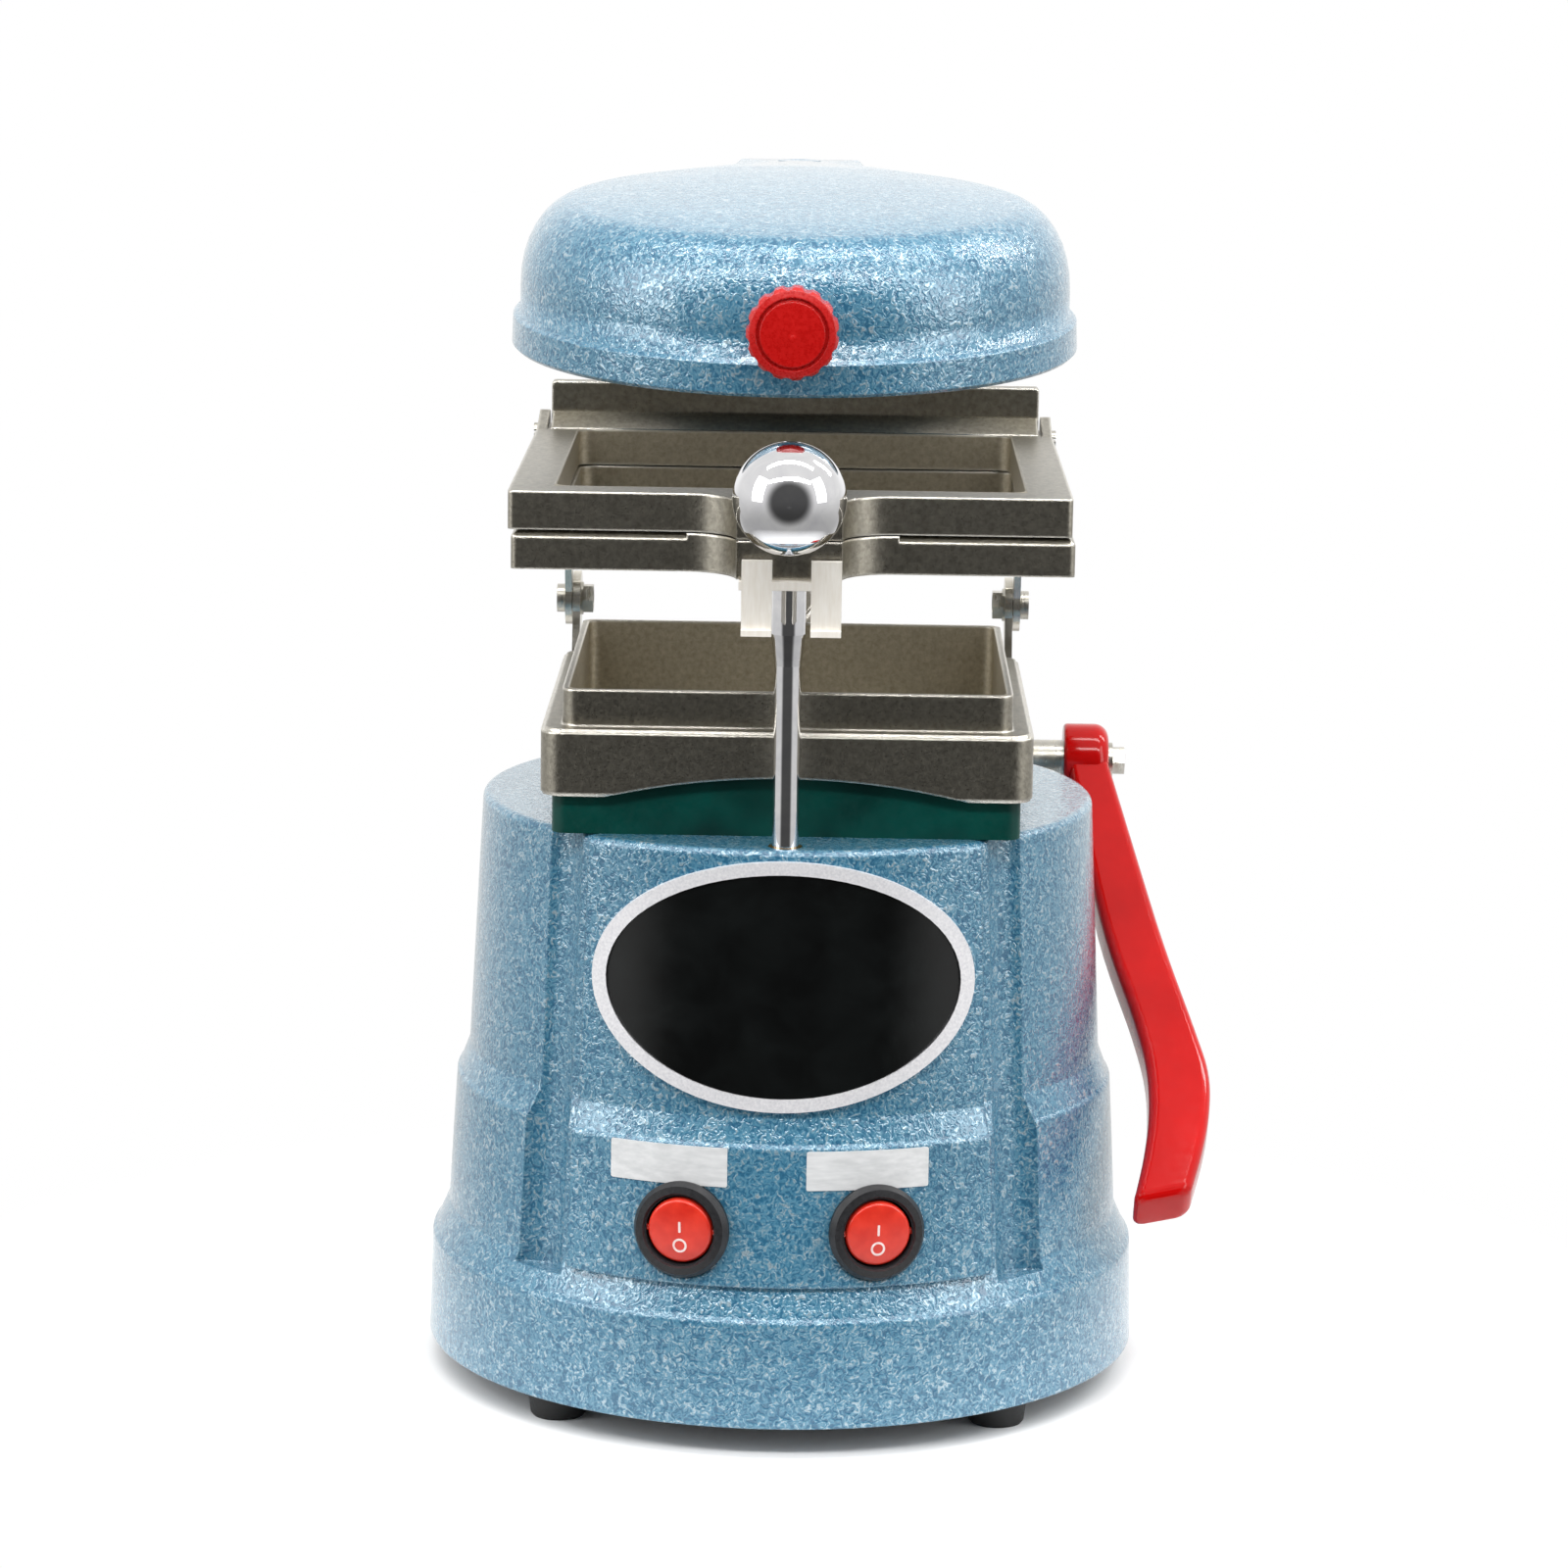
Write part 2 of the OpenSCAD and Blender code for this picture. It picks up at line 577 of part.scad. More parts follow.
module bracket_screws() color([0.70, 0.70, 0.71]) for (x = [-8, 8])
  translate([x, -frame_out - 6, frame_z - 4]) {
    cylinder(r = 2.8, h = 1.8, $fn = 24);
    cylinder(r = 1.6, h = 9, $fn = 24);
  }

module guide_rod() color([0.90, 0.91, 0.92]) translate([0, rod_y, 0]) rotate_extrude($fn = 64)
  polygon([[0, base_h - 8], [rod_d/2 - 0.8, base_h - 8], [rod_d/2, base_h - 7],
    [rod_d/2, frame_z - 23], [rod_d/2 + 0.2, frame_z - 21], [4.3, frame_z - 15],
    [4.3, frame_z + 5], [0, frame_z + 5]]);

// rear crossbar, web and slide block in one casting
module carriage() color([0.58, 0.57, 0.55]) difference() {
  union() {
    translate([0, bar_back, 238.6]) rotate([90, 0, 0]) linear_extrude(bar_back - bar_front)
      round_rect(134, 34, 0.8);
    translate([-11, bar_back - 1, 226]) cube([22, column_y - bar_back, 27]);
    translate([0, column_y, 222]) cylinder(r = 19, h = 40);
    // slotted ears for the link pins
    both_sides() translate([56, 0, 0]) {
      translate([0, bar_back - 1, pin_z - 7]) cube([4.6, shaft_y - bar_back + 1, 14 + slot_l]);
      bar_x(0, 4.6, shaft_y, pin_z, 7);
      bar_x(0, 4.6, shaft_y, pin_z + slot_l, 7);
    }
  }
  translate([0, column_y, 200]) cylinder(r = 15, h = 80);
  both_sides() {
    bar_x(50, 70, shaft_y, pin_z, 3.4);
    bar_x(50, 70, shaft_y, pin_z + slot_l, 3.4);
    translate([50, shaft_y - 3.4, pin_z]) cube([20, 6.8, slot_l]);
    bar_x(55, 70, hinge_y, hinge_z, 1.5);
  }
  for (x = [-46, 46]) bar_y(60, 90, x, frame_z + 4.8, 2.5);
}

module slide_bush() color([0.78, 0.60, 0.32]) translate([0, column_y, 0]) difference() {
  union() {
    translate([0, 0, 222]) cylinder(r = 15, h = 40);
    translate([0, 0, 220.4]) cylinder(r = 17, h = 1.6);
  }
  translate([0, 0, 200]) cylinder(d = column_d + 2*run, h = 80);
}

module hinge_screws() color([0.72, 0.72, 0.70]) both_sides() {
  bar_x(58, 67.2, hinge_y, hinge_z, 1.5);
  difference() {
    bar_x(67, 72, hinge_y, hinge_z, 2.4);
    translate([71.3, hinge_y - 4, hinge_z - 0.4]) cube([2, 8, 0.8]);
  }
}

module upper_frame() color([0.60, 0.59, 0.57]) difference() {
  union() {
    translate([0, 0, upper_z]) linear_extrude(frame_t) frame_plan(0.8);
    // thick front boss for the ball stud
    bar_y(lug_y, -frame_out + 4, 0, ball_z, 7);
    translate([-7, lug_y, upper_z]) cube([14, 17, ball_z - upper_z]);
    // ramp on the rear member, up to the crossbar
    translate([-66.6, 0, upper_z + frame_t]) rotate([90, 0, 90]) linear_extrude(133.2)
      polygon([[frame_in + 1, -1], [frame_in + 1, 0.2], [69, 3.8], [69.6, 3.2], [69.6, -1]]);
    // rear ears outside the crossbar ends
    both_sides() {
      translate([67.6, 0, 0]) rotate([90, 0, 90]) linear_extrude(frame_out - 67.6)
        polygon([[56, upper_z + 1], [56, upper_z + frame_t - 0.2],
          [hinge_y - 0.6, 2*hinge_z - upper_z - 1.1], [hinge_y, 2*hinge_z - upper_z - 1],
          [hinge_y, upper_z + 1]]);
      bar_x(67.6, frame_out, hinge_y, hinge_z, hinge_z - upper_z - 1);
    }
  }
  both_sides() bar_x(60, 80, hinge_y, hinge_z, 2.4 + run);
  bar_y(lug_y - 8, lug_y + 12, 0, ball_z, 3);
}

module ball_stud() color([0.75, 0.75, 0.76]) bar_y(ball_y - 2, lug_y + 12, 0, ball_z, 3);

module ball_knob() color([0.93, 0.93, 0.94]) translate([0, ball_y, ball_z]) rotate([90, 0, 0])
  difference() {
    union() {
      sphere(d = ball_d);
      translate([0, 0, lug_y - 0.5 - ball_y > 0 ? ball_y - lug_y + 0.5 : 0]) cylinder(r = 5.5, h = 6);
    }
    translate([0, 0, -20]) cylinder(r = 3 + run, h = 23);
  }

// The side lever and the linkage

module cross_shaft() color([0.80, 0.80, 0.80]) {
  bar_x(-65, 87, shaft_y, shaft_z, shaft_d/2);
  for (x = [-crank_in, 52.8]) bar_x(x, x + crank_in - 52.8, shaft_y, shaft_z, 6.4);
  bar_x(67, 76.8, shaft_y, shaft_z, 5.5);
}

// path of the lever arm: distance along the slope, sideways place, width
lever_slope = 36.5;
lever_path = [[6, 83.6, 11.5, 0], [64, 93.2, 16.4, 11], [100, 101.6, 16.8, 12], [116, 104.6, 16.6, 4],
  [130, 104.6, 16.2, -5], [144, 102.6, 16, -11], [160, 98.9, 15.6, -14]];

module lever_station(p) {
  translate([0, shaft_y, shaft_z]) rotate([lever_slope, 0, 0]) translate([p[1], -p[0], 0])
    rotate([90, 0, -p[3]]) linear_extrude(0.2) round_rect(p[2], 13, 3.4, $fn = 24);
}

module side_lever() color([0.86, 0.07, 0.08]) difference() {
  union() {
    translate([76.8, shaft_y, shaft_z]) rotate([0, 90, 0]) rotate_extrude() polygon(concat([[0, 0], [9.4, 0]],
      arc(9.2, 1, 1, -60, 0, 2), arc(6.2, 8.6, 4, 0, 90, 5), [[0, 12.6]]));
    for (i = [0 : len(lever_path) - 2]) hull() {
      lever_station(lever_path[i]);
      lever_station(lever_path[i + 1]);
    }
  }
  bar_x(60, 87, shaft_y, shaft_z, shaft_d/2);
  bar_x(60, 120, shaft_y, shaft_z, 2.5);
}

module lever_screw() color([0.74, 0.73, 0.68]) {
  bar_x(87, 89.4, shaft_y, shaft_z, 2.5);
  bar_x(89.4, 90.6, shaft_y, shaft_z, 5);
  hex_x(90.6, 94, shaft_y, shaft_z, 7);
}

// flat bar with round eyes at both ends, lying in the side plane, b0 and b1 are its bores
module flat_bar(x0, t, y0, z0, lean, r, w, b0, b1) {
  translate([x0, y0, z0]) rotate([-lean, 0, 0]) rotate([0, 90, 0]) linear_extrude(t) difference() {
    union() {
      circle(r = r);
      translate([-link_l, 0]) circle(r = r);
      translate([-link_l/2, 0]) square([link_l, w], center = true);
    }
    circle(r = b0);
    translate([-link_l, 0]) circle(r = b1);
  }
}

module cranks() color([0.72, 0.71, 0.67]) both_sides()
  flat_bar(crank_in, crank_t, shaft_y, shaft_z, crank_lean, 7.8, 12, shaft_d/2, 3);

module knee_bolts() color([0.80, 0.79, 0.75]) both_sides() {
  bar_x(56.6, 66.6, knee_y, knee_z, 3);
  bar_x(link_in + link_t + 0.3, 66.6, knee_y, knee_z, 4);
}

module knee_nuts() color([0.74, 0.70, 0.56]) both_sides() difference() {
  union() {
    bar_x(crank_in - 0.6, crank_in, knee_y, knee_z, 4.6);
    hex_x(crank_in - 3.4, crank_in - 0.6, knee_y, knee_z, 7.4);
  }
  bar_x(50, 65, knee_y, knee_z, 3);
}

module links() color([0.72, 0.71, 0.67]) both_sides()
  flat_bar(link_in, link_t, knee_y, knee_z, -crank_lean, 7.4, 11, 3 + run, 3);

module link_pins() color([0.80, 0.79, 0.75]) both_sides() {
  bar_x(54, link_in + link_t + 0.3, shaft_y, pin_z, 3);
  bar_x(52.6, 54.4, shaft_y, pin_z, 4.4);
}

base_housing();
bottom_plate();
rubber_feet();
foot_screws();
vacuum_motor();
motor_seal();
chamber_gasket();
forming_box();
model_plate();
oval_rim();
oval_face();
switch_bezels();
vacuum_rocker();
heat_rocker();
cord_gland();
fuse_holder();
rod_bush();
shaft_bushes();
column();
column_screws();
head_shell();
reflector_pan();
heating_rod();
heater_studs();
neck_screw();
knob_stud();
head_knob();
carriage();
slide_bush();
lower_frame();
frame_bolts();
rod_bracket();
bracket_screws();
guide_rod();
hinge_screws();
upper_frame();
ball_stud();
ball_knob();
cross_shaft();
side_lever();
lever_screw();
cranks();
knee_bolts();
knee_nuts();
links();
link_pins();
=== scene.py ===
import json
import math

import bmesh
import bpy
from mathutils import Matrix, Vector


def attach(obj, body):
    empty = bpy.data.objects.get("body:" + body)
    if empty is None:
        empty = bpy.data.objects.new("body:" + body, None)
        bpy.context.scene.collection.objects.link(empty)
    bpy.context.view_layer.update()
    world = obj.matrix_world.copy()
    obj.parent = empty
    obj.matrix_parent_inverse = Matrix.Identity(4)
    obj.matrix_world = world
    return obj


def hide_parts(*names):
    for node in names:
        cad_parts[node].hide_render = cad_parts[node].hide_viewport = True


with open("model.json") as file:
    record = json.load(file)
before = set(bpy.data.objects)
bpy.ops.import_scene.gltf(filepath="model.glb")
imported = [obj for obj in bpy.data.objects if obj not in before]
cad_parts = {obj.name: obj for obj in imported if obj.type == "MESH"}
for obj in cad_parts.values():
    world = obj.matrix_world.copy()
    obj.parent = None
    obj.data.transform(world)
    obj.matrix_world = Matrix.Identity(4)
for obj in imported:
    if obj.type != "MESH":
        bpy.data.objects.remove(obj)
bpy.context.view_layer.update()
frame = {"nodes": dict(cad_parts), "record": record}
nodes = frame["nodes"]
MM = 0.001               # added pieces are drawn in millimetres and scaled by this


# Materials: small helpers that wire shader nodes

def srgb(text):
    """Linear colour from a six-digit colour word."""
    parts = [int(text[i:i + 2], 16) / 255 for i in (0, 2, 4)]
    linear = [p / 12.92 if p <= 0.04045 else ((p + 0.055) / 1.055) ** 2.4 for p in parts]
    return (*linear, 1.0)


EDGE_OFF, EDGE_ON = 0.99, 0.86   # agreement of the softened and the true normal off an edge and on it, for the painted edge highlight


def new_node(tree, kind, **values):
    """New node with the given settings."""
    node = tree.nodes.new(kind)
    for key, value in values.items():
        setattr(node, key, value)
    return node


def remap(tree, source, low, high, to_low, to_high, **values):
    """Values from low to high, moved to new ends."""
    node = new_node(tree, "ShaderNodeMapRange", **values)
    for key, value in zip(("From Min", "From Max", "To Min", "To Max"), (low, high, to_low, to_high)):
        node.inputs[key].default_value = value
    tree.links.new(source, node.inputs["Value"])
    return node.outputs["Result"]


class Finish:
    """One procedural material on the object's own coordinates."""

    def __init__(self, name, colour, metallic=0.0, rough=0.5, coat=0.0, coat_rough=0.1, ior=1.5):
        self.mat = bpy.data.materials.new(name)
        self.mat.use_nodes = True
        self.tree = self.mat.node_tree
        self.shader = self.tree.nodes["Principled BSDF"]
        self.shader.inputs["Base Color"].default_value = colour
        self.shader.inputs["Metallic"].default_value = metallic
        self.shader.inputs["Roughness"].default_value = rough
        self.shader.inputs["Coat Weight"].default_value = coat
        self.shader.inputs["Coat Roughness"].default_value = coat_rough
        self.shader.inputs["IOR"].default_value = ior
        self.where = self.add("ShaderNodeTexCoord").outputs["Object"]
        self.last_bump = None

    def add(self, kind, **values):
        """New node of this material."""
        return new_node(self.tree, kind, **values)

    def join(self, out, socket):
        """Link an output to an input."""
        self.tree.links.new(out, socket)

    def stretch(self, x, y, z):
        """Object coordinates scaled along each axis."""
        mapping = self.add("ShaderNodeMapping")
        mapping.inputs["Scale"].default_value = (x, y, z)
        self.join(self.where, mapping.inputs["Vector"])
        return mapping.outputs["Vector"]

    def noise(self, scale, detail=2.0, rough=0.5, distortion=0.0, where=None):
        """Cloudy grey pattern; a larger scale makes smaller clouds."""
        node = self.add("ShaderNodeTexNoise")
        node.inputs["Scale"].default_value = scale
        node.inputs["Detail"].default_value = detail
        node.inputs["Roughness"].default_value = rough
        node.inputs["Distortion"].default_value = distortion
        self.join(where or self.where, node.inputs["Vector"])
        return node.outputs["Fac"]

    def ramp(self, fac, *stops):
        """Colour or grey ramp: stops are (place, colour)."""
        node = self.add("ShaderNodeValToRGB")
        steps = node.color_ramp.elements
        while len(steps) < len(stops):
            steps.new(0.5)
        for step, (place, colour) in zip(steps, stops):
            step.position = place
            step.color = colour if isinstance(colour, tuple) else (colour, colour, colour, 1)
        self.join(fac, node.inputs["Fac"])
        return node.outputs["Color"]

    def level(self, fac, low, high, to_low, to_high):
        """Values from low to high, moved to new ends."""
        return remap(self.tree, fac, low, high, to_low, to_high)

    def mix(self, fac, a, b, blend="MIX"):
        """Blend of two colours."""
        node = self.add("ShaderNodeMix", data_type="RGBA", blend_type=blend)
        for socket, value in ((0, fac), (6, a), (7, b)):
            if isinstance(value, (int, float, tuple)):
                node.inputs[socket].default_value = value
            else:
                self.join(value, node.inputs[socket])
        return node.outputs[2]

    def math(self, operation, a, b=0.0):
        """One step of arithmetic on numbers or outputs."""
        node = self.add("ShaderNodeMath", operation=operation)
        for socket, value in enumerate((a, b)):
            if isinstance(value, (int, float)):
                node.inputs[socket].default_value = value
            else:
                self.join(value, node.inputs[socket])
        return node.outputs["Value"]

    def colour(self, out):
        """Let an output set the base colour."""
        self.join(out, self.shader.inputs["Base Color"])

    def roughness(self, out):
        """Let an output set the roughness."""
        self.join(out, self.shader.inputs["Roughness"])

    def metal(self, out):
        """Let an output set how metallic the surface is."""
        self.join(out, self.shader.inputs["Metallic"])

    def bump(self, height, depth, strength=1.0):
        """Stack a bump of the given depth in metres."""
        node = self.add("ShaderNodeBump")
        node.inputs["Strength"].default_value = strength
        node.inputs["Distance"].default_value = depth
        self.join(height, node.inputs["Height"])
        if self.last_bump is not None:
            self.join(self.last_bump, node.inputs["Normal"])
        self.last_bump = node.outputs["Normal"]
        self.join(self.last_bump, self.shader.inputs["Normal"])
        if self.shader.inputs["Coat Weight"].default_value > 0:
            self.join(self.last_bump, self.shader.inputs["Coat Normal"])

    def soften(self, radius):
        """Light catches every edge as if it were rounded to this radius."""
        bevel = self.add("ShaderNodeBevel", samples=6)
        bevel.inputs["Radius"].default_value = radius
        self.last_bump = bevel.outputs["Normal"]
        self.join(self.last_bump, self.shader.inputs["Normal"])

    def edge(self, radius):
        """Grey mask of outer edges for a painted highlight, 1 on the edge."""
        bevel = self.add("ShaderNodeBevel", samples=4)
        bevel.inputs["Radius"].default_value = radius
        plain = self.add("ShaderNodeNewGeometry").outputs["Normal"]
        dot = self.add("ShaderNodeVectorMath", operation="DOT_PRODUCT")
        self.join(bevel.outputs["Normal"], dot.inputs[0])
        self.join(plain, dot.inputs[1])
        return self.level(dot.outputs["Value"], EDGE_OFF, EDGE_ON, 0.0, 1.0)


def hammer_paint(name="hammer_paint", rounding=0.0009):
    """Light blue hammer paint: pale metallic flakes under a clear coat."""
    f = Finish(name, srgb("5C89A4"), metallic=0.06, rough=0.4, coat=1.0, coat_rough=0.07)
    f.shader.inputs["Coat IOR"].default_value = 1.7
    f.shader.inputs["Specular IOR Level"].default_value = 0.15
    worms = f.noise(640, 1.2, 0.45, 1.6)
    flecks = f.noise(1800, 1.0, 0.5, 0.4)
    clouds = f.noise(22, 2.0)
    skin = f.ramp(worms, (0.36, srgb("275F7E")), (0.47, srgb("437A95")), (0.58, srgb("5F90A8")),
                  (0.70, srgb("A6BCC8")))
    shade = f.ramp(clouds, (0.3, 0.92), (0.7, 1.0))
    f.metal(f.level(worms, 0.5, 0.7, 0.02, 0.5))
    f.colour(f.mix(1.0, skin, shade, "MULTIPLY"))
    f.roughness(f.level(flecks, 0.3, 0.7, 0.24, 0.36))
    if rounding:
        f.soften(rounding)
    f.bump(worms, 0.0004, 0.6)
    f.bump(flecks, 0.00008, 0.3)
    return f.mat


def blasted_nickel(name="blasted_nickel", inside=0.0):
    """Plated casting; its inner walls, within the given half width, are painted lighter and warmer as a
    painted reflection of the light inside, and are duller.
    """
    f = Finish(name, srgb("9A968C"), metallic=1.0, rough=0.3)
    grain = f.noise(2300, 2.0, 0.6)
    spots = f.noise(700, 3.0, 0.6, 0.4)
    painted_edge_highlight = f.edge(0.0012)
    body = f.ramp(spots, (0.3, srgb("8A867C")), (0.7, srgb("ABA699")))
    dull = f.level(grain, 0.3, 0.7, 0.27, 0.42)
    if inside:
        place = f.add("ShaderNodeSeparateXYZ")
        f.join(f.where, place.inputs[0])
        reach = [f.math("ABSOLUTE", place.outputs[axis]) for axis in ("X", "Y")]
        within = f.level(f.math("MAXIMUM", *reach), inside, inside + 0.0003, 1.0, 0.0)
        # painted reflection: the inner walls get a lighter, warmer colour than the outside
        body = f.mix(within, body, f.ramp(spots, (0.3, srgb("A9A08C")), (0.7, srgb("C3BAA6"))))
        dull = f.math("ADD", dull, f.math("MULTIPLY", within, 0.22))
    # painted highlight: the outer edges are lightened towards a pale colour
    f.colour(f.mix(painted_edge_highlight, body, srgb("F2EEE4")))
    f.roughness(f.math("SUBTRACT", dull, f.math("MULTIPLY", painted_edge_highlight, 0.15)))
    f.soften(0.001)
    f.bump(grain, 0.00007, 0.5)
    f.bump(spots, 0.0001, 0.25)
    return f.mat


def satin_plate():
    """Pale, nearly diffuse stand-in for the plating of the bracket legs: its paleness is a painted
    reflection, so they look lit even where they face the viewer.
    """
    f = Finish("satin_plate", srgb("F4EEE4"), metallic=0.0, rough=0.4)
    brushed = f.noise(900, 2.0, 0.6, 0.0, f.stretch(1.0, 1.0, 0.15))
    # painted reflection: pale colour on a non-metal surface in place of the plating's reflection
    f.colour(f.ramp(brushed, (0.3, srgb("F0EADF")), (0.7, srgb("FAF6EE"))))
    f.roughness(f.level(brushed, 0.3, 0.7, 0.32, 0.48))
    f.soften(0.0003)
    return f.mat


def bright_nickel():
    """Smooth, faintly smeared plating."""
    f = Finish("bright_nickel", srgb("DAD5C9"), metallic=1.0, rough=0.2)
    fine = f.noise(1400, 2.0, 0.6)
    smear = f.noise(90, 3.0, 0.6)
    f.colour(f.ramp(smear, (0.3, srgb("C9C3B4")), (0.7, srgb("E6E2D8"))))
    f.roughness(f.level(smear, 0.3, 0.7, 0.14, 0.27))
    f.bump(fine, 0.00002, 0.3)
    return f.mat


def chrome_finish():
    """Mirror chrome with faint smears."""
    f = Finish("chrome_finish", srgb("EFEFF1"), metallic=1.0, rough=0.035)
    smear = f.noise(130, 3.0, 0.6, 0.6)
    f.colour(f.ramp(smear, (0.3, srgb("E2E2E6")), (0.7, srgb("F3F3F4"))))
    f.roughness(f.level(smear, 0.35, 0.75, 0.02, 0.075))
    return f.mat


def zinc_steel():
    """Plated steel with fine streaks across X."""
    f = Finish("zinc_steel", srgb("C6C3BC"), metallic=1.0, rough=0.3)
    brushed = f.noise(900, 3.0, 0.6, 0.0, f.stretch(1.0, 0.12, 0.12))
    tone = f.noise(160, 2.0)
    f.colour(f.ramp(tone, (0.3, srgb("B4B0A4")), (0.55, srgb("CBC8C0")), (0.75, srgb("D3CBB0"))))
    f.roughness(f.level(brushed, 0.3, 0.7, 0.22, 0.42))
    f.bump(brushed, 0.00003, 0.4)
    return f.mat


def heater_steel():
    """Dark steel, browned by heat."""
    f = Finish("heater_steel", srgb("4C443F"), metallic=0.85, rough=0.5)
    heat = f.noise(240, 4.0, 0.6, 0.5)
    f.colour(f.ramp(heat, (0.3, srgb("2F2A28")), (0.5, srgb("574A42")), (0.7, srgb("7A6350"))))
    f.roughness(f.level(heat, 0.3, 0.7, 0.4, 0.65))
    f.bump(heat, 0.00006, 0.5)
    return f.mat


def bronze_finish():
    """Grainy bronze."""
    f = Finish("bronze_finish", srgb("C79A52"), metallic=1.0, rough=0.32)
    grain = f.noise(1100, 3.0, 0.6)
    f.colour(f.ramp(grain, (0.3, srgb("A87B3A")), (0.7, srgb("D6AE66"))))
    f.bump(grain, 0.00004, 0.4)
    return f.mat


def foot_rubber():
    """Dull black rubber."""
    f = Finish("foot_rubber", srgb("141414"), rough=0.62)
    grain = f.noise(1300, 3.0, 0.6)
    f.colour(f.ramp(grain, (0.3, srgb("0B0B0B")), (0.7, srgb("1E1E1F"))))
    f.roughness(f.level(grain, 0.3, 0.7, 0.52, 0.75))
    f.bump(grain, 0.00006, 0.4)
    return f.mat


def gasket_rubber():
    """Green rubber, its colour darkened as painted shade from the box above it."""
    f = Finish("gasket_rubber", srgb("00564C"), rough=0.42)
    grain = f.noise(900, 2.0, 0.5)
    clouds = f.noise(60, 2.0)
    f.shader.inputs["Specular IOR Level"].default_value = 0.25
    # painted shade: the ramp is darker than the rubber's own green, for the shade under the box
    f.colour(f.ramp(clouds, (0.3, srgb("002B26")), (0.7, srgb("00443C"))))
    f.roughness(f.level(grain, 0.3, 0.7, 0.34, 0.5))
    f.bump(grain, 0.00005, 0.35)
    return f.mat


def black_nylon():
    """Black plastic with a fine grain."""
    f = Finish("black_nylon", srgb("1A1A1C"), rough=0.42)
    grain = f.noise(1700, 2.0, 0.6)
    f.colour(f.ramp(grain, (0.3, srgb("131315")), (0.7, srgb("242427"))))
    f.roughness(f.level(grain, 0.3, 0.7, 0.33, 0.5))
    f.bump(grain, 0.00004, 0.4)
    return f.mat


def gloss_black():
    """Glossy black with a faint haze."""
    f = Finish("gloss_black", srgb("050707"), rough=0.12)
    haze = f.noise(70, 3.0, 0.6, 0.4)
    f.colour(f.ramp(haze, (0.35, srgb("040505")), (0.7, srgb("0C0F0F"))))
    f.roughness(f.level(haze, 0.3, 0.7, 0.09, 0.2))
    return f.mat


def rim_silver():
    """Silver paint with a fine grain."""
    f = Finish("rim_silver", srgb("DEDEE2"), metallic=0.2, rough=0.34)
    grain = f.noise(1500, 2.0, 0.6)
    f.colour(f.ramp(grain, (0.3, srgb("D2D2D6")), (0.7, srgb("E9E8EA"))))
    f.roughness(f.level(grain, 0.3, 0.7, 0.28, 0.42))
    f.bump(grain, 0.00002, 0.3)
    return f.mat


def rocker_red():
    """Glossy red plastic that lets a little light in."""
    f = Finish("rocker_red", srgb("D8301F"), rough=0.16, coat=0.3, coat_rough=0.06)
    depth = f.noise(260, 2.0, 0.5)
    f.colour(f.ramp(depth, (0.3, srgb("CF2A1C")), (0.7, srgb("E23A28"))))
    f.shader.inputs["Subsurface Weight"].default_value = 0.25
    f.shader.inputs["Subsurface Radius"].default_value = (0.004, 0.0008, 0.0005)
    f.shader.inputs["Subsurface Scale"].default_value = 0.6
    f.bump(f.noise(600, 2.0), 0.00004, 0.3)
    return f.mat


def lever_enamel():
    """Deep red enamel with a slight orange peel."""
    f = Finish("lever_enamel", srgb("D4100F"), rough=0.2, ior=1.42)
    f.shader.inputs["Specular IOR Level"].default_value = 0.4
    tone = f.noise(45, 3.0, 0.6)
    peel = f.noise(420, 2.0, 0.5)
    f.colour(f.ramp(tone, (0.3, srgb("B20606")), (0.7, srgb("C20B0A"))))
    f.roughness(f.level(peel, 0.3, 0.7, 0.08, 0.14))
    f.bump(peel, 0.00006, 0.2)
    return f.mat


def knob_plastic():
    """Red moulded plastic with softened edges."""
    f = Finish("knob_plastic", srgb("C80C0A"), rough=0.3)
    grain = f.noise(1200, 2.0, 0.6)
    f.colour(f.ramp(grain, (0.3, srgb("AC0806")), (0.7, srgb("BE0E0B"))))
    f.roughness(f.level(grain, 0.3, 0.7, 0.22, 0.36))
    f.soften(0.0005)
    f.bump(grain, 0.00003, 0.4)
    return f.mat


def grey_paint():
    """Dark grey paint."""
    f = Finish("grey_paint", srgb("47494D"), rough=0.5)
    grain = f.noise(1100, 2.0, 0.6)
    f.colour(f.ramp(grain, (0.3, srgb("3B3D41")), (0.7, srgb("525458"))))
    f.bump(grain, 0.00008, 0.5)
    return f.mat


def cast_alloy():
    """Bare cast alloy."""
    f = Finish("cast_alloy", srgb("A9ABB0"), metallic=0.9, rough=0.45)
    grain = f.noise(800, 4.0, 0.65)
    f.colour(f.ramp(grain, (0.3, srgb("8F9196")), (0.7, srgb("B9BBC0"))))
    f.bump(grain, 0.0001, 0.5)
    return f.mat


def polished_pan():
    """Polished metal with uneven shine."""
    f = Finish("polished_pan", srgb("D8D8DA"), metallic=1.0, rough=0.16)
    rings = f.noise(500, 2.0, 0.5)
    f.colour(f.ramp(f.noise(60, 3.0), (0.3, srgb("C2BFBA")), (0.7, srgb("E2E2E4"))))
    f.roughness(f.level(rings, 0.3, 0.7, 0.1, 0.26))
    f.bump(rings, 0.00005, 0.3)
    return f.mat


def white_ceramic():
    """Off-white ceramic."""
    f = Finish("white_ceramic", srgb("E8E4DA"), rough=0.45)
    grain = f.noise(700, 2.0)
    f.colour(f.ramp(grain, (0.3, srgb("DAD5C9")), (0.7, srgb("EFECE4"))))
    f.bump(grain, 0.00004, 0.4)
    return f.mat


